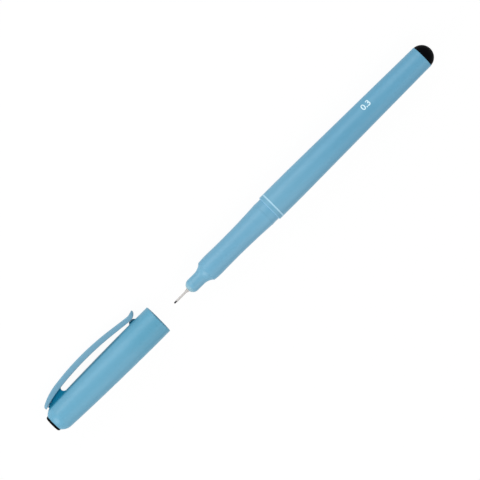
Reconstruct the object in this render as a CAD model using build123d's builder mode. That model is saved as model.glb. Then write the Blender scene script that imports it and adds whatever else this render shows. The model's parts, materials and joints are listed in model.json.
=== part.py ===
"""Fineliner pen with its cap pulled off, one solid per piece, in millimetres.

The pen's axis lies along X. The writing point faces -X and the end plug faces +X. The cap stands
ahead of the point on the same axis, and Z is up. The origin is on the axis, at the middle of the
barrel's cylindrical land.
"""
import math
import os

from build123d import *

# Writing point and steel sleeve
nib_diameter = 0.64
nib_length = 12.0
nib_protrusion = 1.1
needle_length = 4.7
sleeve_cone_length = 1.55
sleeve_cone_showing = 1.4
sleeve_wall = 0.08
shank_length = 6.2

# Nose and flare of the nib holder
nose_step = 1.46
nose_length = 5.7
nose_face_ring = 0.25
nose_round_length = 2.4
flare_length = 3.6
flare_step = 0.12
holder_spigot_length = 7.0

# Grip section
grip_length = 32.8
grip_swell_back = 4.5
grip_swell_step = 0.42
grip_waist_back = 13.8
grip_waist_depth = 0.10
grip_lip_step = 0.25
grip_lip_round = 0.2
collar_step = 0.51
collar_length = 3.6
bead_height = 0.06
bead_width = 1.2
bead_ramp = 0.4
section_spigot_length = 10.0
section_spigot_wall = 1.01

# Barrel
barrel_length = 79.4
barrel_diameter = 10.86
barrel_taper = 0.80
barrel_wall = 0.95
land_length = 12.5
rim_round = 0.4
barrel_end_round = 0.15
rib_count = 6
rib_width = 0.7

# Black plug in the rear of the barrel
dome_step = 0.08
dome_height = 4.2
plug_stem_length = 7.0
plug_stem_wall = 1.0

# Ink parts
wick_diameter = 1.5
wick_in_reservoir = 8.0
film_thickness = 0.12

# Cap
cap_gap = 8.1
cap_mouth_step = 0.64
cap_middle_drop = 0.12
cap_shoulder_drop = 0.83
crown_length = 3.45
crown_middle_drop = 0.50
crown_face_drop = 1.84
mouth_round = 0.3
mouth_lead_in = 0.1
mouth_land_length = 5.0
end_wall = 2.55
end_head_overhang = 0.9
end_head_height = 0.95
end_head_round = 0.75
inner_cap_wall = 1.1
inner_cap_floor = 1.1
inner_cap_lead_in = 0.6
point_room = 1.3
point_chamber_diameter = 3.0

# Clip, with heights above the cap's mouth radius. Tip, pinch and straight end are placed from the
# mouth, root and tail from the closed end
clip_tip = 4.8
clip_tip_rise = 3.38
clip_tip_thickness = 1.0
clip_pinch = 8.2
clip_pinch_rise = 0.78
clip_pinch_thickness = 1.93
clip_straight_end = 16.0
clip_straight_end_rise = 1.63
clip_straight_end_thickness = 2.10
clip_root_to_end = 9.85
clip_root_rise = 1.35
clip_root_thickness = 2.18
clip_tail_to_end = 1.15
clip_tail_drop = 0.92
clip_tail_thickness = 1.2
clip_tip_width = 3.4
clip_root_width = 4.2
clip_end_round = 0.9
clip_corner_round = 0.6
clip_edge_round = 0.45
clip_under_round = 0.2
web_length = 7.3
web_width = 1.8
web_lead = 0.6
web_hollow = 1.05
ridge_front = 2.4
ridge_crest_front = 1.4
ridge_crest_back = 0.45
ridge_back = 1.3
ridge_width = 2.4
root_depth = 0.35

# Clearances
press_clearance = 0.02
slide_clearance = 0.10
bead_clearance = 0.05
lip_clearance = 0.12
lip_room = 0.4
seal_clearance = 0.06
rib_clearance = 0.05
stop_gap = 0.05
reservoir_gap = 0.4

# Radii that several pieces share
nib_r = nib_diameter / 2
needle_bore_r = nib_r + press_clearance
needle_r = needle_bore_r + sleeve_wall
wick_r = wick_diameter / 2
shank_bore_r = wick_r + press_clearance
shank_r = shank_bore_r + sleeve_wall
holder_bore_r = shank_r + press_clearance
nose_face_r = holder_bore_r + nose_face_ring
barrel_r = barrel_diameter / 2
barrel_end_r = barrel_r - barrel_taper
dome_r = barrel_end_r - dome_step
seat_r = barrel_r - barrel_wall
section_spigot_r = seat_r - press_clearance
chamber_r = section_spigot_r - section_spigot_wall
reservoir_r = chamber_r - rib_clearance
plug_bore_r = barrel_end_r - barrel_wall
collar_r = barrel_r - collar_step
bead_r = collar_r + bead_height
swell_r = collar_r - grip_swell_step
waist_r = swell_r - grip_waist_depth
lip_r = swell_r - grip_lip_step
flare_r = lip_r - flare_step
nose_r = flare_r - nose_step
cap_mouth_r = barrel_r + cap_mouth_step
cap_middle_r = cap_mouth_r - cap_middle_drop
cap_shoulder_r = cap_mouth_r - cap_shoulder_drop
crown_middle_r = cap_shoulder_r - crown_middle_drop
crown_face_r = cap_shoulder_r - crown_face_drop
mouth_bore_r = collar_r + slide_clearance
groove_r = mouth_bore_r + bead_height
deep_bore_r = swell_r + lip_clearance
inner_cap_bore_r = nose_r + seal_clearance
inner_cap_r = inner_cap_bore_r + inner_cap_wall
end_hole_r = crown_face_r - end_head_overhang

# Stations along the pen, from the writing point back
sleeve_front = nib_protrusion
cone_front = sleeve_front + needle_length
nose_face = cone_front + sleeve_cone_showing
shank_front = cone_front + sleeve_cone_length
shank_back = shank_front + shank_length
flare_front = nose_face + nose_length
section_front = flare_front + flare_length
holder_back = section_front + holder_spigot_length
rim = section_front + grip_length
collar_front = rim - collar_length
bead_back = collar_front + bead_width
spigot_back = rim + section_spigot_length
land_front = rim + rim_round
land_back = land_front + land_length
barrel_back = rim + barrel_length
stem_front = barrel_back - plug_stem_length
reservoir_front = holder_back + reservoir_gap
reservoir_back = stem_front - reservoir_gap
wick_front = shank_front + 2 * sleeve_wall
wick_back = reservoir_front + wick_in_reservoir

# The origin is at the middle of the land
point_x = -(land_front + land_back) / 2
mouth_x = point_x - cap_gap

# Stations in the cap, from its mouth to its closed end, with the seated pen inside it
seated_rim = rim - stop_gap
groove_front = seated_rim - bead_back - bead_clearance
groove_back = seated_rim - collar_front + bead_clearance
lip_stop = seated_rim - section_front + lip_room
seal_front = seated_rim - flare_front + inner_cap_lead_in
seal_back = seated_rim - nose_face - nose_round_length / 2
chamber_front = seated_rim - nose_face + sleeve_cone_showing
chamber_back = seated_rim + point_room
inner_cap_back = chamber_back + inner_cap_floor
end_wall_face = inner_cap_back + stop_gap
cap_length = end_wall_face + end_wall
crown_front = cap_length - crown_length
clip_root = cap_length - clip_root_to_end
clip_tail = cap_length - clip_tail_to_end
web_back = clip_root + web_length

# Corners of the clip's profile, on its outer face and underneath
clip_pinch_height = cap_mouth_r + clip_pinch_rise
clip_straight_end_height = cap_mouth_r + clip_straight_end_rise
clip_root_height = cap_mouth_r + clip_root_rise
clip_tail_height = cap_mouth_r - clip_tail_drop
tip_out = (clip_tip, cap_mouth_r + clip_tip_rise)
pinch_out = (clip_pinch, clip_pinch_height + clip_pinch_thickness)
straight_out = (clip_straight_end, clip_straight_end_height + clip_straight_end_thickness)
root_out = (clip_root, clip_root_height + clip_root_thickness)
tail_out = (clip_tail, clip_tail_height + clip_tail_thickness)
tip_in = (clip_tip, cap_mouth_r + clip_tip_rise - clip_tip_thickness)
pinch_in = (clip_pinch, clip_pinch_height)
straight_in = (clip_straight_end, clip_straight_end_height)
root_in = (clip_root, clip_root_height)
tail_in = (clip_tail, clip_tail_height)

# The cap lies on its mouth edge and on the corner of the clip, which sets its turn about the axis
rise = math.atan2(straight_out[1] - pinch_out[1], straight_out[0] - pinch_out[0])
span = math.atan2(root_out[1] - straight_out[1], root_out[0] - straight_out[0])
arch_r = math.dist(straight_out, root_out) / (2 * math.sin(rise - span))
crest = straight_out[0] + arch_r * math.sin(rise)
crest_height = straight_out[1] + arch_r * (1 - math.cos(rise))
crest_share = (crest - clip_tip) / (clip_tail - clip_tip)
crest_half_width = (clip_tip_width + crest_share * (clip_root_width - clip_tip_width)) / 2
corner_out = crest_height - clip_edge_round
corner_side = crest_half_width - clip_edge_round
corner_turn = math.asin((cap_mouth_r - clip_edge_round) / math.hypot(corner_out, corner_side))
clip_turn = corner_turn - math.atan2(corner_side, corner_out)
clip_out = Vector(0, math.cos(clip_turn), -math.sin(clip_turn))
clip_side = Vector(0, -math.sin(clip_turn), -math.cos(clip_turn))

# Half section of the pen, of the cap, and the plane through the middle of the clip
pen_half = Plane(origin=(point_x, 0, 0), x_dir=(1, 0, 0), z_dir=(0, -1, 0))
cap_half = Plane(origin=(mouth_x, 0, 0), x_dir=(-1, 0, 0), z_dir=(0, 1, 0))
clip_half = Plane(origin=(mouth_x, 0, 0), x_dir=(-1, 0, 0), z_dir=clip_side)
clip_plan = Plane(origin=(mouth_x, 0, 0), x_dir=(-1, 0, 0), z_dir=clip_out)

os.makedirs("parts", exist_ok=True)

# Nib, a rod with a rounded writing end
with BuildPart() as nib:
    with BuildSketch(pen_half):
        with BuildLine():
            writing_end = TangentArc((nib_r, nib_r), (0, 0), tangent=(-1, 0))
            Polyline((0, 0), (nib_length, 0), (nib_length, nib_r), (nib_r, nib_r))
        make_face()
    revolve(axis=Axis.X)
nib.part.label = "nib"
export_step(nib.part, "parts/nib.step")

# Steel sleeve, a fine tube that widens through a cone to the shank in the nose
with BuildPart() as needle_sleeve:
    with BuildSketch(pen_half):
        with BuildLine():
            Polyline(
                (sleeve_front, needle_bore_r),
                (sleeve_front, needle_r),
                (cone_front, needle_r),
                (shank_front, shank_r),
                (shank_back, shank_r),
                (shank_back, shank_bore_r),
                (shank_front, shank_bore_r),
                (cone_front + sleeve_wall, needle_bore_r),
                close=True,
            )
        make_face()
    revolve(axis=Axis.X)
    fillet(needle_sleeve.edges().group_by(Axis.X)[0].sort_by(SortBy.RADIUS)[-1], sleeve_wall / 2)
needle_sleeve.part.label = "needle_sleeve"
export_step(needle_sleeve.part, "parts/needle_sleeve.step")

# Nib holder, the nose and flare with a spigot for the section
with BuildPart() as nib_holder:
    with BuildSketch(pen_half):
        with BuildLine():
            wick_way_r = wick_r + slide_clearance
            spigot_r = chamber_r - press_clearance
            Polyline(
                (nose_face, holder_bore_r),
                (nose_face, nose_face_r),
            )
            TangentArc(
                (nose_face + nose_round_length, nose_r),
                (nose_face, nose_face_r),
                tangent=(-1, 0),
            )
            Line((nose_face + nose_round_length, nose_r), (flare_front, nose_r))
            TangentArc((flare_front, nose_r), (section_front, flare_r), tangent=(1, 0))
            Polyline(
                (section_front, flare_r),
                (section_front, spigot_r),
                (holder_back, spigot_r),
                (holder_back, wick_way_r),
                (shank_back + stop_gap, wick_way_r),
                (shank_back + stop_gap, holder_bore_r),
                (nose_face, holder_bore_r),
            )
        make_face()
    revolve(axis=Axis.X)
nib_holder.part.label = "nib_holder"
export_step(nib_holder.part, "parts/nib_holder.step")

# Feed wick, a fibre rod drilled at the front for the nib
with BuildPart() as feed_wick:
    with BuildSketch(pen_half):
        with BuildLine():
            Polyline(
                (wick_front, needle_bore_r),
                (wick_front, wick_r),
                (wick_back, wick_r),
                (wick_back, 0),
                (nib_length + stop_gap, 0),
                (nib_length + stop_gap, needle_bore_r),
                close=True,
            )
        make_face()
    revolve(axis=Axis.X)
feed_wick.part.label = "feed_wick"
export_step(feed_wick.part, "parts/feed_wick.step")

# Front section, the waisted grip with a collar and a low snap bead for the cap
with BuildPart() as front_section:
    with BuildSketch(pen_half):
        with BuildLine():
            swell = (section_front + grip_swell_back, swell_r)
            waist = (section_front + grip_waist_back, waist_r)
            Polyline((section_front, chamber_r), (section_front, lip_r))
            grip = ThreePointArc(swell, waist, (collar_front, collar_r))
            TangentArc(swell, (section_front, lip_r), tangent=-(grip % 0))
            Polyline(
                (collar_front, collar_r),
                (collar_front + bead_ramp, bead_r),
                (bead_back - bead_ramp, bead_r),
                (bead_back, collar_r),
                (rim, collar_r),
                (rim, section_spigot_r),
                (spigot_back, section_spigot_r),
                (spigot_back, chamber_r),
                (section_front, chamber_r),
            )
        make_face()
    revolve(axis=Axis.X)
    lip_edge = front_section.edges().group_by(Axis.X)[0].sort_by(SortBy.RADIUS)[-1]
    fillet(lip_edge, grip_lip_round)
    spigot_edge = front_section.edges().group_by(Axis.X)[-1].sort_by(SortBy.RADIUS)[-1]
    chamfer(spigot_edge, length=section_spigot_wall / 3)
front_section.part.label = "front_section"
export_step(front_section.part, "parts/front_section.step")

# Barrel, with a bore that narrows to the rear and ribs that centre the reservoir
rib_planes = [pen_half.rotated((360 * i / rib_count, 0, 0)) for i in range(rib_count)]
with BuildPart() as barrel:
    with BuildSketch(pen_half):
        with BuildLine():
            Polyline(
                (rim, seat_r),
                (rim, barrel_r),
                (land_back, barrel_r),
                (barrel_back - barrel_end_round, barrel_end_r),
            )
            TangentArc(
                (barrel_back - barrel_end_round, barrel_end_r),
                (barrel_back, barrel_end_r - barrel_end_round),
                tangent=(1, 0),
            )
            Polyline(
                (barrel_back, barrel_end_r - barrel_end_round),
                (barrel_back, plug_bore_r),
                (stem_front, plug_bore_r),
                (spigot_back + stop_gap, seat_r),
                (rim, seat_r),
            )
        make_face()
    revolve(axis=Axis.X)
    fillet(barrel.edges().group_by(Axis.X)[0].sort_by(SortBy.RADIUS)[-1], rim_round)
    with BuildSketch(*rib_planes):
        with BuildLine():
            rib_root = barrel_wall / 3
            Polyline(
                (spigot_back + 2 * rib_width, chamber_r),
                (stem_front - stop_gap, chamber_r),
                (stem_front - stop_gap, plug_bore_r + rib_root),
                (spigot_back + 2 * rib_width, seat_r),
                close=True,
            )
        make_face()
    extrude(amount=rib_width / 2, both=True)
barrel.part.label = "barrel"
export_step(barrel.part, "parts/barrel.step")

# Ink reservoir, a fibre core with a hole for the wick
with BuildPart() as ink_reservoir:
    with BuildSketch(pen_half):
        with BuildLine():
            core_r = reservoir_r - film_thickness - press_clearance
            wick_hole_r = wick_r + press_clearance
            Polyline(
                (reservoir_front, wick_hole_r),
                (reservoir_front, core_r),
                (reservoir_back, core_r),
                (reservoir_back, 0),
                (wick_back + stop_gap, 0),
                (wick_back + stop_gap, wick_hole_r),
                close=True,
            )
        make_face()
    revolve(axis=Axis.X)
ink_reservoir.part.label = "ink_reservoir"
export_step(ink_reservoir.part, "parts/ink_reservoir.step")

# Film wrapped round the fibre core
with BuildPart() as reservoir_film:
    with BuildSketch(pen_half):
        with Locations(((reservoir_front + reservoir_back) / 2, reservoir_r - film_thickness / 2)):
            Rectangle(reservoir_back - reservoir_front, film_thickness)
    revolve(axis=Axis.X)
reservoir_film.part.label = "reservoir_film"
export_step(reservoir_film.part, "parts/reservoir_film.step")

# Black plug with a domed head and a hollow stem in the rear of the barrel
with BuildPart() as end_plug:
    with BuildSketch(pen_half):
        with BuildLine():
            stem_r = plug_bore_r - press_clearance
            hollow_r = stem_r - plug_stem_wall
            Polyline(
                (barrel_back, 0),
                (barrel_back, hollow_r),
                (stem_front, hollow_r),
                (stem_front, stem_r),
                (barrel_back, stem_r),
                (barrel_back, dome_r),
            )
            TangentArc((barrel_back + dome_height, 0), (barrel_back, dome_r), tangent=(0, 1))
            Line((barrel_back + dome_height, 0), (barrel_back, 0))
        make_face()
    revolve(axis=Axis.X)
end_plug.part.label = "end_plug"
export_step(end_plug.part, "parts/end_plug.step")

# Clip, an arched leaf with a turned-up free end and a tail over the crown of the cap
with BuildPart() as clip:
    with BuildSketch(clip_half):
        with BuildLine():
            outer_straight = Line(pinch_out, straight_out)
            outer_arch = TangentArc(straight_out, root_out, tangent=outer_straight % 1)
            outer_tail = TangentArc(root_out, tail_out, tangent=outer_arch % 1)
            outer_flick = TangentArc(pinch_out, tip_out, tangent=-(outer_straight % 0))
            inner_straight = Line(pinch_in, straight_in)
            inner_arch = TangentArc(straight_in, root_in, tangent=inner_straight % 1)
            inner_tail = TangentArc(root_in, tail_in, tangent=inner_arch % 1)
            inner_flick = TangentArc(pinch_in, tip_in, tangent=-(inner_straight % 0))
            Line(tip_out, tip_in)
            Line(tail_out, tail_in)
        make_face()
    extrude(amount=clip_root_width, both=True)
    with BuildSketch(clip_plan) as clip_outline:
        with BuildLine():
            tip_half = clip_tip_width / 2
            tail_half = clip_root_width / 2
            Line((clip_tip + clip_end_round, tip_half), (clip_tail - clip_end_round, tail_half))
            ThreePointArc(
                (clip_tail - clip_end_round, tail_half),
                (clip_tail, 0),
                (clip_tail - clip_end_round, -tail_half),
            )
            Line((clip_tail - clip_end_round, -tail_half), (clip_tip + clip_end_round, -tip_half))
            ThreePointArc(
                (clip_tip + clip_end_round, -tip_half),
                (clip_tip, 0),
                (clip_tip + clip_end_round, tip_half),
            )
        make_face()
        fillet(clip_outline.vertices(), clip_corner_round)
    extrude(amount=2 * tip_out[1], mode=Mode.INTERSECT)
    across = Axis((0, 0, 0), clip_side)
    under_edges = clip.faces().filter_by(lambda f: f.normal_at().dot(clip_out) < -0.5).edges()
    fillet(under_edges - under_edges.filter_by(across), clip_under_round)
    top_edges = clip.faces().filter_by(lambda f: f.normal_at().dot(clip_out) > 0.5).edges()
    fillet(top_edges - top_edges.filter_by(across), clip_edge_round)
clip.part.label = "clip"
export_step(clip.part, "parts/clip.step")

# Cap shell with a groove for the snap bead, the web under the clip and the pinch ridge at its free end
with BuildPart() as cap_shell:
    with BuildSketch(cap_half):
        with BuildLine():
            cap_middle = (crown_front / 2, cap_middle_r)
            crown_middle = (crown_front + crown_length / 2, crown_middle_r)
            cap_seat_r = inner_cap_r + press_clearance
            TangentArc((mouth_round, cap_mouth_r), (0, cap_mouth_r - mouth_round), tangent=(-1, 0))
            ThreePointArc((mouth_round, cap_mouth_r), cap_middle, (crown_front, cap_shoulder_r))
            ThreePointArc(
                (crown_front, cap_shoulder_r),
                crown_middle,
                (cap_length, crown_face_r),
            )
            Polyline(
                (cap_length, crown_face_r),
                (cap_length, end_hole_r),
                (end_wall_face, end_hole_r),
                (end_wall_face, cap_seat_r),
                (lip_stop + deep_bore_r - cap_seat_r, cap_seat_r),
                (lip_stop, deep_bore_r),
                (mouth_land_length, mouth_bore_r),
                (groove_back, mouth_bore_r),
                (groove_back - bead_ramp, groove_r),
                (groove_front + bead_ramp, groove_r),
                (groove_front, mouth_bore_r),
                (mouth_lead_in, mouth_bore_r),
                (0, mouth_bore_r + mouth_lead_in),
                (0, cap_mouth_r - mouth_round),
            )
        make_face()
    revolve(axis=Axis.X)
    with BuildSketch(clip_half):
        with BuildLine():
            web_base_r = cap_shoulder_r - root_depth
            web_front = clip_root - web_lead
            web_foot = (web_front - web_hollow, cap_shoulder_r + root_depth)
            web_top = (web_front - web_hollow, clip_root_height + root_depth)
            Polyline(
                web_foot,
                (web_front - web_hollow, web_base_r),
                (web_back, web_base_r),
                (web_back, clip_tail_height + clip_tail_thickness),
                (clip_root, clip_root_height + clip_root_thickness / 4),
                web_top,
            )
            ThreePointArc(web_top, (web_front, (web_top[1] + web_foot[1]) / 2), web_foot)
        make_face()
    extrude(amount=web_width / 2, both=True)
    with BuildSketch(clip_half):
        with BuildLine():
            ridge_top = clip_pinch_height - stop_gap
            ridge_foot_r = cap_mouth_r - root_depth
            Polyline(
                (clip_pinch - ridge_front, ridge_foot_r),
                (clip_pinch - ridge_crest_front, ridge_top),
                (clip_pinch + ridge_crest_back, ridge_top),
                (clip_pinch + ridge_back, ridge_foot_r),
                close=True,
            )
        make_face()
    extrude(amount=ridge_width / 2, both=True)
    add(clip.part, mode=Mode.SUBTRACT)
cap_shell.part.label = "cap_shell"
export_step(cap_shell.part, "parts/cap_shell.step")

# Inner cap, a sleeve that closes round the nose with a small chamber for the point
with BuildPart() as inner_cap:
    with BuildSketch(cap_half):
        with BuildLine():
            point_chamber_r = point_chamber_diameter / 2
            Polyline(
                (seal_front - inner_cap_lead_in, inner_cap_bore_r + inner_cap_lead_in),
                (seal_front - inner_cap_lead_in, inner_cap_r),
                (inner_cap_back, inner_cap_r),
                (inner_cap_back, 0),
                (chamber_back, 0),
                (chamber_back, point_chamber_r),
                (chamber_front, point_chamber_r),
                (seal_back, inner_cap_bore_r),
                (seal_front, inner_cap_bore_r),
                close=True,
            )
        make_face()
    revolve(axis=Axis.X)
inner_cap.part.label = "inner_cap"
export_step(inner_cap.part, "parts/inner_cap.step")

# Black plug with a rounded head in the closed end of the cap
with BuildPart() as cap_end_plug:
    with BuildSketch(cap_half):
        with BuildLine():
            head_r = crown_face_r
            end_stem_r = end_hole_r - press_clearance
            head_top = cap_length + end_head_height
            Polyline(
                (head_top, head_r - end_head_round),
                (head_top, 0),
                (inner_cap_back + stop_gap, 0),
                (inner_cap_back + stop_gap, end_stem_r),
                (cap_length, end_stem_r),
                (cap_length, head_r),
                (head_top - end_head_round, head_r),
            )
            head_side = (head_top - end_head_round, head_r)
            TangentArc(head_side, (head_top, head_r - end_head_round), tangent=(1, 0))
        make_face()
    revolve(axis=Axis.X)
cap_end_plug.part.label = "cap_end_plug"
export_step(cap_end_plug.part, "parts/cap_end_plug.step")
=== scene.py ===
import json
import math
from collections import namedtuple

import bmesh
import bpy
from mathutils import Matrix, Vector


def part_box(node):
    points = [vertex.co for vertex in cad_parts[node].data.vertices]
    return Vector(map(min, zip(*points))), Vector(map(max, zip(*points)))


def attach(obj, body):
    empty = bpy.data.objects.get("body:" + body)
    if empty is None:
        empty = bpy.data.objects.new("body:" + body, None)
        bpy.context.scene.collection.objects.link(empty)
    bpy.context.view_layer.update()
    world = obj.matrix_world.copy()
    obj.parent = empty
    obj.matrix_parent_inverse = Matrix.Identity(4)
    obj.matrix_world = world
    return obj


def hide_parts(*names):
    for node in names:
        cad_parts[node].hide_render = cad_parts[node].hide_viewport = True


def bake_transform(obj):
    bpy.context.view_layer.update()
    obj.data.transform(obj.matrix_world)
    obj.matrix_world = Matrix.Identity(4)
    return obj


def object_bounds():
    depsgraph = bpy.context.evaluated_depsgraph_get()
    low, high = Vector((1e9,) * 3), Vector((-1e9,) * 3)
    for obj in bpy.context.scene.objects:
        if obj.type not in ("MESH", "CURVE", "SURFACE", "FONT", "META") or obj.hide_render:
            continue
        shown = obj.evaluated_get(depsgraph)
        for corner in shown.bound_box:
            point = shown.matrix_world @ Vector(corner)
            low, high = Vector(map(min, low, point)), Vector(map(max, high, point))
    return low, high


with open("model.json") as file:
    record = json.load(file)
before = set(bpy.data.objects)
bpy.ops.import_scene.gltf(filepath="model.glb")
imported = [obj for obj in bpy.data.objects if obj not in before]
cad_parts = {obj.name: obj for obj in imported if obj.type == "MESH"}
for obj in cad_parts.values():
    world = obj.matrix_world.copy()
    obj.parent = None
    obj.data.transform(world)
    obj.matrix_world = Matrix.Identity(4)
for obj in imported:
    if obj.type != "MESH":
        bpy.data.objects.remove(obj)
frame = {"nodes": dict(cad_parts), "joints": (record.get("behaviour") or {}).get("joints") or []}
cad_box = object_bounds()
nodes = frame["nodes"]
MM = 0.001

# The axis of the clip's hinge points at the camera, and the clip stands out across it
hinge = next(joint for joint in frame["joints"] if joint["name"] == "clip_flex")
facing = Vector(hinge["axis"]).normalized()
along = Vector((1.0, 0.0, 0.0))
outward = facing.cross(along).normalized()

# Places along the axis and radii of the barrel, in metres
cap_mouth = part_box("cap_shell")[1].x
nose_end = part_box("nib_holder")[0].x
sleeve_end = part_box("needle_sleeve")[0].x
land_back = 6.25 * MM
taper_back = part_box("barrel")[1].x - 0.15 * MM
barrel_r = 5.43 * MM
barrel_end_r = 4.63 * MM


# Helpers for meshes

SMOOTH_CREASE = 40.0
LEAF_CREASE = 60.0


def finished(bm, name, finish, crease=SMOOTH_CREASE):
    """Turns a bmesh into a piece with smooth faces and one finish."""
    bmesh.ops.remove_doubles(bm, verts=bm.verts, dist=1e-7)
    bmesh.ops.recalc_face_normals(bm, faces=bm.faces)
    mesh = bpy.data.meshes.new(name)
    bm.to_mesh(mesh)
    bm.free()
    mesh.shade_smooth()
    mesh.set_sharp_from_angle(angle=math.radians(crease))
    piece = bpy.data.objects.new(name, mesh)
    bpy.context.scene.collection.objects.link(piece)
    mesh.materials.append(finish)
    return piece


def barrel_radius(x):
    """Radius of the barrel's skin at a place along it."""
    share = min(max((x - land_back) / (taper_back - land_back), 0.0), 1.0)
    return barrel_r + share * (barrel_end_r - barrel_r)


def clip_side_point(depth, height):
    """Point on the clip's side, from its depth behind the cap's mouth and its height over the axis in mm."""
    return Vector((cap_mouth - depth * MM, 0.0, 0.0)) + outward * height * MM


# Helpers for finishes

# Values between which most of a noise pattern lies
NOISE_LOW, NOISE_HIGH = 0.3, 0.7
STREAK_LOW, STREAK_HIGH = 0.32, 0.68

# Sockets of the Mix node for colours, which share their names with those for other types
MIX_FIRST, MIX_SECOND, MIX_RESULT = 6, 7, 2

Zone = namedtuple("Zone", "tone shine planes")


def below_x(x, softness):
    """Plane across the axis that has the smaller x beyond it."""
    return -along, -x, softness


def above_x(x, softness):
    """Plane across the axis that has the larger x beyond it."""
    return along, x, softness


def above_cap(height, taper, softness):
    """Plane over the cap on the clip's side, at a height at the mouth and closer to the axis behind it."""
    return outward - taper * along, height - taper * cap_mouth, softness


class Finish:
    """A node material round one Principled shader, with patterns in object coordinates."""

    def __init__(self, name, roughness, metallic=0.0, specular=0.5):
        self.material = bpy.data.materials.new(name)
        self.material.use_nodes = True
        self.tree = self.material.node_tree
        self.shader = self.tree.nodes["Principled BSDF"]
        self.shader.inputs["Roughness"].default_value = roughness
        self.shader.inputs["Metallic"].default_value = metallic
        self.shader.inputs["Specular IOR Level"].default_value = specular
        self.place = self.tree.nodes.new("ShaderNodeTexCoord")
        self.bump = None

    def noise(self, scale, x_scale=1.0, detail=3.0, offset=(0.0, 0.0, 0.0)):
        """Noise with the given number of grains in a metre, drawn out along the pen by a small x_scale."""
        mapping = self.tree.nodes.new("ShaderNodeMapping")
        mapping.inputs["Scale"].default_value = (x_scale, 1.0, 1.0)
        mapping.inputs["Location"].default_value = offset
        texture = self.tree.nodes.new("ShaderNodeTexNoise")
        texture.inputs["Scale"].default_value = scale
        texture.inputs["Detail"].default_value = detail
        self.tree.links.new(self.place.outputs["Object"], mapping.inputs["Vector"])
        self.tree.links.new(mapping.outputs["Vector"], texture.inputs["Vector"])
        return texture.outputs["Fac"]

    def ramp(self, pattern, dark, light, low=NOISE_LOW, high=NOISE_HIGH):
        """Goes from one colour to another between two values of a pattern."""
        node = self.tree.nodes.new("ShaderNodeValToRGB")
        first, last = node.color_ramp.elements
        first.position = low
        first.color = (*dark, 1.0)
        last.position = high
        last.color = (*light, 1.0)
        self.tree.links.new(pattern, node.inputs["Fac"])
        return node.outputs["Color"]

    def tinted(self, pattern, colour, spread, low=NOISE_LOW, high=NOISE_HIGH):
        """A darker and a lighter tone of a colour, by a pattern."""
        darker = tuple(channel * (1.0 - spread) for channel in colour)
        lighter = tuple(min(1.0, channel * (1.0 + spread)) for channel in colour)
        return self.ramp(pattern, darker, lighter, low, high)

    def blend(self, share, first, second):
        """Mixes two colours by a pattern."""
        node = self.tree.nodes.new("ShaderNodeMix")
        node.data_type = "RGBA"
        self.tree.links.new(share, node.inputs["Factor"])
        self.tree.links.new(first, node.inputs[MIX_FIRST])
        self.tree.links.new(second, node.inputs[MIX_SECOND])
        return node.outputs[MIX_RESULT]

    def spread(self, pattern, low, high):
        """Brings a pattern between two values."""
        node = self.tree.nodes.new("ShaderNodeMapRange")
        node.inputs["From Min"].default_value = NOISE_LOW
        node.inputs["From Max"].default_value = NOISE_HIGH
        node.inputs["To Min"].default_value = low
        node.inputs["To Max"].default_value = high
        self.tree.links.new(pattern, node.inputs["Value"])
        return node.outputs["Result"]

    def beyond(self, normal, level, softness):
        """Mask of the part that lies beyond a plane."""
        height = self.tree.nodes.new("ShaderNodeVectorMath")
        height.operation = "DOT_PRODUCT"
        height.inputs[1].default_value = normal
        edge = self.tree.nodes.new("ShaderNodeMapRange")
        edge.inputs["From Min"].default_value = level
        edge.inputs["From Max"].default_value = level + softness
        self.tree.links.new(self.place.outputs["Object"], height.inputs[0])
        self.tree.links.new(height.outputs["Value"], edge.inputs["Value"])
        return edge.outputs["Result"]

    def within(self, planes):
        """Mask of the part that lies beyond every one of some planes."""
        mask = self.beyond(*planes[0])
        for plane in planes[1:]:
            both = self.tree.nodes.new("ShaderNodeMath")
            both.operation = "MINIMUM"
            self.tree.links.new(mask, both.inputs[0])
            self.tree.links.new(self.beyond(*plane), both.inputs[1])
            mask = both.outputs["Value"]
        return mask

    def changed_shine(self, mask, shine, zone_shine):
        """A shine, given as a value or a socket, that becomes another one within a mask."""
        node = self.tree.nodes.new("ShaderNodeMapRange")
        if isinstance(shine, float):
            node.inputs["To Min"].default_value = shine
        else:
            self.tree.links.new(shine, node.inputs["To Min"])
        node.inputs["To Max"].default_value = zone_shine
        self.tree.links.new(mask, node.inputs["Value"])
        return node.outputs["Result"]

    def feed(self, socket, value):
        """Links a pattern to a socket of the shader."""
        self.tree.links.new(value, self.shader.inputs[socket])

    def relief(self, pattern, strength, height):
        """Adds a layer of relief to the surface."""
        node = self.tree.nodes.new("ShaderNodeBump")
        node.inputs["Strength"].default_value = strength
        node.inputs["Distance"].default_value = height
        self.tree.links.new(pattern, node.inputs["Height"])
        if self.bump is not None:
            self.tree.links.new(self.bump.outputs["Normal"], node.inputs["Normal"])
        self.bump = node
        self.feed("Normal", node.outputs["Normal"])


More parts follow.
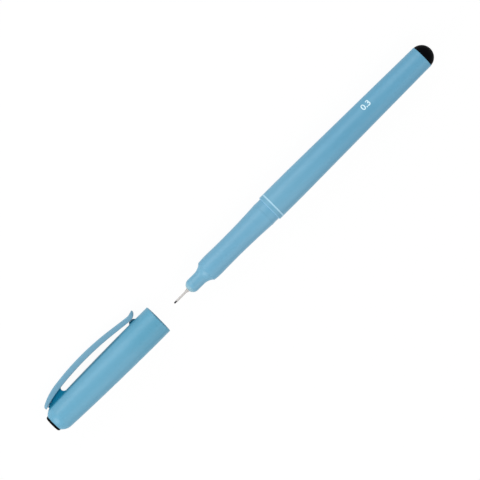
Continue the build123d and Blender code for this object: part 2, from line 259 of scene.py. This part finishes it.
def moulded_plastic(name, colour, roughness, specular=0.5, flow=0.05, seed=0.0, zones=()):
    """Satin plastic with faint flow streaks along the pen, a fine skin and zones of painted light and shade.

    A zone lies beyond all of its planes. Later zones lie over earlier ones.
    """
    finish = Finish(name, roughness, specular=specular)
    streaks = finish.noise(scale=260.0, x_scale=0.12, detail=4.0, offset=(seed, seed, 0.0))
    clouds = finish.noise(scale=55.0, x_scale=0.5, detail=2.0, offset=(0.0, seed, seed))
    streak_colour = finish.tinted(streaks, colour, flow, STREAK_LOW, STREAK_HIGH)
    cloud_colour = finish.tinted(clouds, colour, 0.5 * flow)
    speckle = finish.noise(scale=900.0, detail=2.0)
    skin = finish.blend(speckle, streak_colour, cloud_colour)
    shine = specular
    for zone in zones:
        mask = finish.within(zone.planes)
        zone_colour = finish.tinted(streaks, zone.tone, flow, STREAK_LOW, STREAK_HIGH)
        skin = finish.blend(mask, skin, zone_colour)
        if zone.shine != specular:
            shine = finish.changed_shine(mask, shine, zone.shine)
    finish.feed("Base Color", skin)
    if shine is not specular:
        finish.feed("Specular IOR Level", shine)
    grain = finish.noise(scale=700.0, x_scale=0.3, detail=3.0)
    finish.feed("Roughness", finish.spread(grain, roughness - 0.05, roughness + 0.06))
    waves = finish.noise(scale=140.0, x_scale=0.25, detail=2.0, offset=(seed, 0.0, 0.0))
    finish.relief(waves, strength=0.15, height=0.02 * MM)
    pores = finish.noise(scale=5200.0, detail=2.0)
    finish.relief(pores, strength=0.12, height=0.008 * MM)
    return finish.material


def drawn_steel():
    """Steel tube with fine lines left by drawing and ink round its open end."""
    finish = Finish("drawn_steel", 0.45, metallic=1.0)
    lines = finish.noise(scale=9000.0, x_scale=0.04, detail=3.0)
    bare = finish.ramp(lines, (0.385, 0.37, 0.36), (0.425, 0.41, 0.40))
    inked = finish.ramp(lines, (0.008, 0.008, 0.01), (0.02, 0.02, 0.024))
    open_end = finish.beyond(*below_x(sleeve_end + 0.12 * MM, softness=0.06 * MM))
    finish.feed("Base Color", finish.blend(open_end, bare, inked))
    finish.feed("Roughness", finish.spread(lines, 0.42, 0.50))
    finish.relief(lines, strength=0.1, height=0.002 * MM)
    return finish.material


def inked_nib():
    """Dense plastic point, dark with ink."""
    finish = Finish("inked_nib", 0.5, specular=0.3)
    grain = finish.noise(scale=9000.0, x_scale=0.3, detail=4.0)
    finish.feed("Base Color", finish.ramp(grain, (0.006, 0.006, 0.008), (0.03, 0.03, 0.034), high=0.75))
    finish.feed("Roughness", finish.spread(grain, 0.42, 0.62))
    finish.relief(grain, strength=0.3, height=0.004 * MM)
    return finish.material


def ink_fibre(name, dark, light):
    """Bundled fibres that run along the pen."""
    finish = Finish(name, 0.85, specular=0.2)
    fibres = finish.noise(scale=7000.0, x_scale=0.02, detail=4.0)
    finish.feed("Base Color", finish.ramp(fibres, dark, light))
    finish.feed("Roughness", finish.spread(fibres, 0.78, 0.92))
    finish.relief(fibres, strength=0.6, height=0.03 * MM)
    return finish.material


def wrapping_film():
    """Thin clear film with faint pull marks."""
    finish = Finish("wrapping_film", 0.18)
    finish.shader.inputs["Transmission Weight"].default_value = 0.85
    finish.shader.inputs["IOR"].default_value = 1.45
    marks = finish.noise(scale=1500.0, x_scale=0.1, detail=3.0)
    finish.feed("Base Color", finish.ramp(marks, (0.86, 0.88, 0.90), (0.94, 0.95, 0.96)))
    finish.feed("Roughness", finish.spread(marks, 0.12, 0.24))
    finish.relief(marks, strength=0.2, height=0.01 * MM)
    return finish.material


def printed_ink(name, thin, full):
    """Pale screen ink, a little thin in places."""
    finish = Finish(name, 0.48, specular=0.4)
    coverage = finish.noise(scale=5200.0, detail=4.0)
    finish.feed("Base Color", finish.ramp(coverage, thin, full, low=0.22, high=0.55))
    finish.feed("Roughness", finish.spread(coverage, 0.42, 0.56))
    finish.relief(coverage, strength=0.2, height=0.004 * MM)
    return finish.material


# Finishes of the pen's side
BARREL_SHINE = 0.42
SATIN_SHINE = 0.45

# Painted light: the barrel grows lighter towards its front, where the light from the point's side falls
painted_front_light = Zone(
    tone=(0.150, 0.383, 0.542),
    shine=BARREL_SHINE,
    planes=[below_x(30.0 * MM, softness=36.0 * MM)],
)
# Painted highlight: a pale band on the rounded rim at the barrel's front end
rim_highlight = Zone(
    tone=(0.225, 0.475, 0.66),
    shine=BARREL_SHINE,
    planes=[below_x(-6.3 * MM, softness=0.1 * MM)],
)
# Painted highlight: the nose turns paler at its front end
nose_end_highlight = Zone(
    tone=(0.30, 0.52, 0.61),
    shine=SATIN_SHINE,
    planes=[below_x(nose_end + 1.6 * MM, softness=1.2 * MM)],
)
barrel_blue = moulded_plastic(
    "barrel_blue", (0.116, 0.350, 0.520), 0.40, specular=BARREL_SHINE, seed=0.3, zones=[painted_front_light, rim_highlight]
)
section_blue = moulded_plastic(
    "section_blue", (0.143, 0.376, 0.541), 0.38, specular=SATIN_SHINE, seed=1.7
)
nose_blue = moulded_plastic(
    "nose_blue", (0.155, 0.386, 0.541), 0.38, specular=SATIN_SHINE, seed=1.7, zones=[nose_end_highlight]
)

# Finishes of the cap's side
CAP_TAPER = 0.0175
FOOT_TAPER = 0.045
# Low shine for the painted shade on the web and the ridge
PAINTED_SHADE_SHINE = 0.05

clip_shade = Zone(
    tone=(0.040, 0.200, 0.305),
    shine=SATIN_SHINE,
    planes=[
        above_cap(5.40 * MM, CAP_TAPER, softness=0.5 * MM),
        below_x(cap_mouth - 9.0 * MM, softness=6.0 * MM),
    ],
)
# Painted shade: the cap grows darker towards its mouth
mouth_shade = Zone(
    tone=(0.100, 0.340, 0.492),
    shine=SATIN_SHINE,
    planes=[above_x(cap_mouth - 18.0 * MM, softness=8.0 * MM)],
)
# Painted shade: dark teal on the cap's skin at the foot of the web, under the clip
web_foot_shade = Zone(
    tone=(0.02, 0.235, 0.375),
    shine=SATIN_SHINE,
    planes=[
        above_cap(6.8 * MM, FOOT_TAPER, softness=0.4 * MM),
        below_x(cap_mouth - 40.0 * MM, softness=3.0 * MM),
    ],
)
# Painted shade: the web under the clip is dark teal, with little shine
web_shade = Zone(
    tone=(0.004, 0.180, 0.323),
    shine=PAINTED_SHADE_SHINE,
    planes=[
        above_cap(5.94 * MM, CAP_TAPER, softness=0.3 * MM),
        below_x(cap_mouth - 42.3 * MM, softness=0.3 * MM),
    ],
)
# Painted shade: the ridge under the clip's tip is nearly black-blue, with little shine
ridge_shade = Zone(
    tone=(0.003, 0.085, 0.15),
    shine=PAINTED_SHADE_SHINE,
    planes=[
        above_cap(5.99 * MM, 0.0, softness=0.08 * MM),
        above_x(cap_mouth - 9.6 * MM, softness=0.3 * MM),
        below_x(cap_mouth - 5.8 * MM, softness=0.3 * MM),
    ],
)
cap_blue = moulded_plastic(
    "cap_blue", (0.1235, 0.3645, 0.522), 0.38, specular=SATIN_SHINE, seed=2.9,
    zones=[clip_shade, mouth_shade, web_foot_shade, web_shade, ridge_shade]
)
clip_blue = moulded_plastic("clip_blue", (0.159, 0.350, 0.480), 0.38, specular=0.4, seed=4.1)
liner_white = moulded_plastic("liner_white", (0.72, 0.73, 0.71), 0.45, flow=0.03, seed=6.1)

# Finishes of both plugs and of the print
plug_black = moulded_plastic("plug_black", (0.0016, 0.0018, 0.0026), 0.5, specular=0.02, flow=0.3, seed=5.3)
ring_ink = printed_ink("ring_ink", (0.28, 0.54, 0.71), (0.41, 0.67, 0.82))
number_ink = printed_ink("number_ink", (0.46, 0.73, 0.88), (0.68, 0.88, 0.95))

for node_name, finish in {
    "barrel": barrel_blue,
    "front_section": section_blue,
    "nib_holder": nose_blue,
    "cap_shell": cap_blue,
    "end_plug": plug_black,
    "cap_end_plug": plug_black,
    "inner_cap": liner_white,
    "needle_sleeve": drawn_steel(),
    "nib": inked_nib(),
    "feed_wick": ink_fibre("wick_fibre", (0.01, 0.01, 0.014), (0.05, 0.05, 0.06)),
    "ink_reservoir": ink_fibre("reservoir_fibre", (0.015, 0.015, 0.02), (0.07, 0.07, 0.085)),
    "reservoir_film": wrapping_film(),
}.items():
    nodes[node_name].data.materials.clear()
    nodes[node_name].data.materials.append(finish)


# Clip, as one leaf that stands out from its web, with depths behind the mouth and heights in mm

clip_tip, clip_pinch, clip_straight, clip_root, clip_tail = 4.8, 8.2, 16.0, 44.4, 52.95
outer_heights = {"tip": 9.45, "pinch": 8.78, "straight": 9.8, "root": 9.6, "tail": 6.6}
under_heights = {"tip": 8.45, "pinch": 6.85, "straight": 7.7, "root": 7.42, "tail": 5.4}
clip_tip_half, clip_tail_half = 1.7, 2.1
clip_end_round = 0.9
clip_corner_round = 0.6
CORNER_SEGMENTS = 6
END_CUTS = 7
CLIP_STATIONS = 79
CUT_TOLERANCE = 1e-4
OUTER_EDGE_ROUND, OUTER_EDGE_SEGMENTS = 0.45 * MM, 5
UNDER_EDGE_ROUND, UNDER_EDGE_SEGMENTS = 0.2 * MM, 3


def arc_through(start, heading, end):
    """Centre and radius of the arc that leaves start along heading and reaches end."""
    normal = Vector((-heading.y, heading.x))
    reach = end - start
    radius = reach.length_squared / (2.0 * reach.dot(normal))
    return start + radius * normal, abs(radius)


def arc_heading(centre, point, heading):
    """Direction in which an arc goes on at a point."""
    spoke = point - centre
    turned = Vector((-spoke.y, spoke.x)).normalized()
    return turned if turned.dot(heading) > 0.0 else -turned


def leaf_line(heights):
    """Function that gives the height of one face of the leaf at each depth behind the mouth."""
    tip = Vector((clip_tip, heights["tip"]))
    pinch = Vector((clip_pinch, heights["pinch"]))
    straight = Vector((clip_straight, heights["straight"]))
    root = Vector((clip_root, heights["root"]))
    tail = Vector((clip_tail, heights["tail"]))
    rise = (straight - pinch).normalized()
    flick = arc_through(pinch, -rise, tip)
    arch = arc_through(straight, rise, root)
    tail_arc = arc_through(root, arc_heading(arch[0], root, rise), tail)

    def height(u):
        if u <= clip_pinch:
            centre, radius = flick
        elif u <= clip_straight:
            return pinch.y + (u - clip_pinch) * rise.y / rise.x
        elif u <= clip_root:
            centre, radius = arch
        else:
            centre, radius = tail_arc
        drop = math.sqrt(max(radius * radius - (u - centre.x) ** 2, 0.0))
        bulges_out = centre.y < min(heights.values())
        return centre.y + drop if bulges_out else centre.y - drop

    return height


def leaf_plan():
    """Flat outline of the leaf as one face, with rounded corners and bowed ends, from tip to tail."""
    front, back = clip_tip + clip_end_round, clip_tail - clip_end_round
    bm = bmesh.new()
    bmesh.ops.create_grid(bm, x_segments=1, y_segments=1, size=0.5)
    for vert in bm.verts:
        at_tail = vert.co.x > 0.0
        half = clip_tail_half if at_tail else clip_tip_half
        vert.co = Vector((back if at_tail else front, math.copysign(half, vert.co.y), 0.0))
    bmesh.ops.bevel(bm, geom=bm.verts[:], offset=clip_corner_round, offset_type="OFFSET", affect="VERTICES",
                    segments=CORNER_SEGMENTS, profile=0.5, material=-1)
    ends = [e for e in bm.edges if all(min(v.co.x - front, back - v.co.x) < CUT_TOLERANCE for v in e.verts)]
    bmesh.ops.subdivide_edges(bm, edges=ends, cuts=END_CUTS)
    for vert in bm.verts:
        u, across = vert.co.x, vert.co.y
        towards = -1.0 if u < 0.5 * (front + back) else 1.0
        inward = min(u - front, back - u) / clip_corner_round
        half = clip_tip_half if towards < 0.0 else clip_tail_half
        vert.co.x += towards * clip_end_round * (1.0 - (across / half) ** 2) * max(1.0 - inward, 0.0)
    return bm, front + 1.5 * clip_corner_round, back - 1.5 * clip_corner_round


def clip_leaf():
    """The clip: its plan raised to a slab, cut into stations, bent to both faces and rounded at the rims."""
    outer, under = leaf_line(outer_heights), leaf_line(under_heights)
    bm, first, last = leaf_plan()
    raised = bmesh.ops.extrude_face_region(bm, geom=bm.faces[:], use_keep_orig=True)
    for item in raised["geom"]:
        if isinstance(item, bmesh.types.BMVert):
            item.co.z = 1.0
    for station in range(CLIP_STATIONS):
        u = first + station * (last - first) / (CLIP_STATIONS - 1)
        bmesh.ops.bisect_plane(bm, geom=bm.verts[:] + bm.edges[:] + bm.faces[:], dist=CUT_TOLERANCE,
                               plane_co=(u, 0.0, 0.0), plane_no=(1.0, 0.0, 0.0))
    rims = {True: [], False: []}
    for edge in bm.edges:
        top = edge.verts[0].co.z > 0.5
        flat = [all((v.co.z > 0.5) == top for v in face.verts) for face in edge.link_faces]
        if (edge.verts[1].co.z > 0.5) == top and flat.count(True) == 1:
            rims[top].append(edge)
    for vert in bm.verts:
        u, across, top = vert.co.x, vert.co.y, vert.co.z > 0.5
        height = outer(u) if top else under(u)
        vert.co = clip_side_point(u, height) - facing * across * MM
    bmesh.ops.recalc_face_normals(bm, faces=bm.faces)
    bm.normal_update()
    bmesh.ops.bevel(bm, geom=rims[True], offset=OUTER_EDGE_ROUND, offset_type="OFFSET", affect="EDGES",
                    segments=OUTER_EDGE_SEGMENTS, profile=0.5, material=-1)
    under_rim = [edge for edge in rims[False] if edge.is_valid]
    bmesh.ops.bevel(bm, geom=under_rim, offset=UNDER_EDGE_ROUND, offset_type="OFFSET", affect="EDGES",
                    segments=UNDER_EDGE_SEGMENTS, profile=0.5, material=-1)
    return finished(bm, "clip_leaf", clip_blue, crease=LEAF_CREASE)


leaf = clip_leaf()
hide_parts("clip")
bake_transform(leaf)


# Print on the barrel: a ring behind the rim and the line width

PRINT_THICKNESS = 0.012 * MM
PRINT_SINK = 0.010 * MM
RING_STEPS = 160
LETTER_CURVE_STEPS = 6
LETTER_WEIGHT = 0.02
LETTER_STRIPS = 12


def printed_ring(name, start, width):
    """Thin band of ink round the barrel's land."""
    bm = bmesh.new()
    low, high = barrel_radius(start) - PRINT_SINK, barrel_radius(start) + PRINT_THICKNESS
    corners = [bm.verts.new((x, 0.0, r)) for x, r in
               ((start, low), (start + width, low), (start + width, high), (start, high))]
    section = [bm.edges.new((corners[i - 1], corners[i])) for i in range(4)]
    bmesh.ops.spin(bm, geom=corners + section, cent=(0, 0, 0), axis=along, dvec=(0, 0, 0),
                   angle=2.0 * math.pi, steps=RING_STEPS, use_merge=True, use_duplicate=False)
    return finished(bm, name, ring_ink)


def flat_lettering(name, words):
    """Bmesh of the faces of some words, one unit in size."""
    curve = bpy.data.curves.new(name + "_outline", "FONT")
    curve.body = words
    curve.size = 1.0
    curve.resolution_u = LETTER_CURVE_STEPS
    curve.offset = LETTER_WEIGHT
    flat = bpy.data.objects.new(name + "_flat", curve)
    bpy.context.scene.collection.objects.link(flat)
    bpy.context.view_layer.update()
    mesh = bpy.data.meshes.new_from_object(flat.evaluated_get(bpy.context.evaluated_depsgraph_get()))
    bpy.data.objects.remove(flat)
    bpy.data.curves.remove(curve)
    bm = bmesh.new()
    bm.from_mesh(mesh)
    bpy.data.meshes.remove(mesh)
    bmesh.ops.remove_doubles(bm, verts=bm.verts, dist=1e-5)
    return bm


def printed_number(name, words, start, height, low_angle):
    """Lettering that lies round the barrel and reads along it."""
    bm = flat_lettering(name, words)
    tall = max(v.co.y for v in bm.verts)
    left = min(v.co.x for v in bm.verts)
    bmesh.ops.translate(bm, verts=bm.verts, vec=(-left, 0.0, 0.0))
    bmesh.ops.scale(bm, verts=bm.verts, vec=(height / tall, height / tall, 1.0))
    for step in range(1, LETTER_STRIPS):
        cut = bm.verts[:] + bm.edges[:] + bm.faces[:]
        bmesh.ops.bisect_plane(bm, geom=cut, dist=1e-9, plane_co=(0.0, height * step / LETTER_STRIPS, 0.0),
                               plane_no=(0.0, 1.0, 0.0))
    bmesh.ops.triangulate(bm, faces=bm.faces)
    for vert in bm.verts:
        x = start + vert.co.x
        r = barrel_radius(x) - PRINT_SINK
        angle = low_angle + vert.co.y / r
        vert.co = Vector((x, 0.0, 0.0)) + r * (math.cos(angle) * facing + math.sin(angle) * outward)
    bmesh.ops.recalc_face_normals(bm, faces=bm.faces)
    for face in bm.faces:
        if face.normal.dot(facing) < 0.0:
            face.normal_flip()
    bmesh.ops.solidify(bm, geom=bm.faces[:], thickness=-(PRINT_THICKNESS + PRINT_SINK))
    return finished(bm, name, number_ink)


ring = printed_ring("printed_ring", start=-5.0 * MM, width=0.58 * MM)
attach(ring, "pen")

number = printed_number(
    "printed_line_width", "0.3", start=43.15 * MM, height=2.4 * MM, low_angle=math.radians(12.5)
)
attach(number, "pen")


# Floor, lights and camera

FLOOR_Z = cad_box[0][2] - 0.01 * MM
FLOOR_HALF_SIZE = 3.0
FLOOR_GREY = 0.62
FLOOR_GLOW = 1.035
FLOOR_GLOW_SHARE = 0.93
WORLD_FILL = 0.44
VIEW_DISTANCE = 1.2
FIELD = 176.6 * MM
SENSOR = 36.0
ROLL = math.radians(44.85)
target = Vector((-22.38 * MM, 0.0, 0.0)) - outward * 0.52 * MM


def white_for_lens(tree):
    """Share of rays from the camera, from gloss and through clear pieces."""
    path = tree.nodes.new("ShaderNodeLightPath")
    first = tree.nodes.new("ShaderNodeMath")
    first.operation = "MAXIMUM"
    second = tree.nodes.new("ShaderNodeMath")
    second.operation = "MAXIMUM"
    tree.links.new(path.outputs["Is Camera Ray"], first.inputs[0])
    tree.links.new(path.outputs["Is Glossy Ray"], first.inputs[1])
    tree.links.new(first.outputs[0], second.inputs[0])
    tree.links.new(path.outputs["Is Transmission Ray"], second.inputs[1])
    return second.outputs[0]


def floor_white():
    """Matt floor that keeps shadows, mixed with a white glow for the lens."""
    material = bpy.data.materials.new("floor_white")
    material.use_nodes = True
    tree = material.node_tree
    tree.nodes.clear()
    output = tree.nodes.new("ShaderNodeOutputMaterial")
    matt = tree.nodes.new("ShaderNodeBsdfDiffuse")
    matt.inputs["Color"].default_value = (FLOOR_GREY, FLOOR_GREY, FLOOR_GREY, 1.0)
    glow = tree.nodes.new("ShaderNodeEmission")
    glow.inputs["Strength"].default_value = FLOOR_GLOW
    mix = tree.nodes.new("ShaderNodeMixShader")
    share = tree.nodes.new("ShaderNodeMath")
    share.operation = "MULTIPLY"
    share.inputs[1].default_value = FLOOR_GLOW_SHARE
    tree.links.new(white_for_lens(tree), share.inputs[0])
    tree.links.new(share.outputs[0], mix.inputs[0])
    tree.links.new(matt.outputs[0], mix.inputs[1])
    tree.links.new(glow.outputs[0], mix.inputs[2])
    tree.links.new(mix.outputs[0], output.inputs["Surface"])
    return material


def studio_floor():
    """Wide floor just under the part."""
    bm = bmesh.new()
    bmesh.ops.create_grid(bm, x_segments=2, y_segments=2, size=FLOOR_HALF_SIZE)
    bmesh.ops.translate(bm, verts=bm.verts, vec=(0.0, 0.0, FLOOR_Z))
    mesh = bpy.data.meshes.new("floor")
    bm.to_mesh(mesh)
    bm.free()
    floor = bpy.data.objects.new("floor", mesh)
    bpy.context.scene.collection.objects.link(floor)
    mesh.materials.append(floor_white())


def studio_world(fill):
    """World that lights the part with a soft fill and looks white to the lens."""
    world = bpy.data.worlds.new("studio")
    world.use_nodes = True
    bpy.context.scene.world = world
    tree = world.node_tree
    tree.nodes.clear()
    output = tree.nodes.new("ShaderNodeOutputWorld")
    light = tree.nodes.new("ShaderNodeBackground")
    light.inputs["Color"].default_value = (1.0, 1.0, 1.0, 1.0)
    light.inputs["Strength"].default_value = fill
    backdrop = tree.nodes.new("ShaderNodeBackground")
    backdrop.inputs["Color"].default_value = (1.0, 1.0, 1.0, 1.0)
    backdrop.inputs["Strength"].default_value = 1.0
    mix = tree.nodes.new("ShaderNodeMixShader")
    tree.links.new(white_for_lens(tree), mix.inputs[0])
    tree.links.new(light.outputs[0], mix.inputs[1])
    tree.links.new(backdrop.outputs[0], mix.inputs[2])
    tree.links.new(mix.outputs[0], output.inputs["Surface"])


def softbox(name, direction, distance, length, width, level):
    """Area light that gives the given share of full light on a surface that faces it."""
    light = bpy.data.lights.new(name, "AREA")
    light.shape = "RECTANGLE"
    light.size = length
    light.size_y = width
    light.energy = level * math.pi * math.pi * distance * distance
    lamp = bpy.data.objects.new(name, light)
    bpy.context.scene.collection.objects.link(lamp)
    towards = direction.normalized()
    turn = towards.to_track_quat("Z", "Y").to_matrix().to_4x4()
    lamp.matrix_world = Matrix.Translation(target + towards * distance) @ turn


def photo_camera():
    """Camera that looks down the hinge's axis, rolled so that the pen lies across the picture's corners."""
    right = math.cos(ROLL) * along - math.sin(ROLL) * outward
    up = math.sin(ROLL) * along + math.cos(ROLL) * outward
    lens = bpy.data.cameras.new("photo_camera")
    lens.sensor_width = SENSOR
    lens.lens = SENSOR * VIEW_DISTANCE / FIELD
    lens.clip_start = 0.01
    camera = bpy.data.objects.new("photo_camera", lens)
    bpy.context.scene.collection.objects.link(camera)
    turn = Matrix((right, up, facing)).transposed().to_4x4()
    camera.matrix_world = Matrix.Translation(target + facing * VIEW_DISTANCE) @ turn
    bpy.context.scene.camera = camera


photo_camera()
studio_floor()
studio_world(WORLD_FILL)
softbox("clip_side_box", Vector((0.0, 0.93, 0.36)), distance=0.6, length=0.8, width=0.44, level=0.61)
softbox("far_side_box", Vector((0.0, -0.589, 0.808)), distance=0.7, length=0.8, width=0.7, level=0.40)
softbox("point_side_box", Vector((-1.0, 0.15, 0.45)), distance=0.7, length=0.4, width=0.3, level=0.34)
bpy.context.scene.view_settings.view_transform = "Standard"
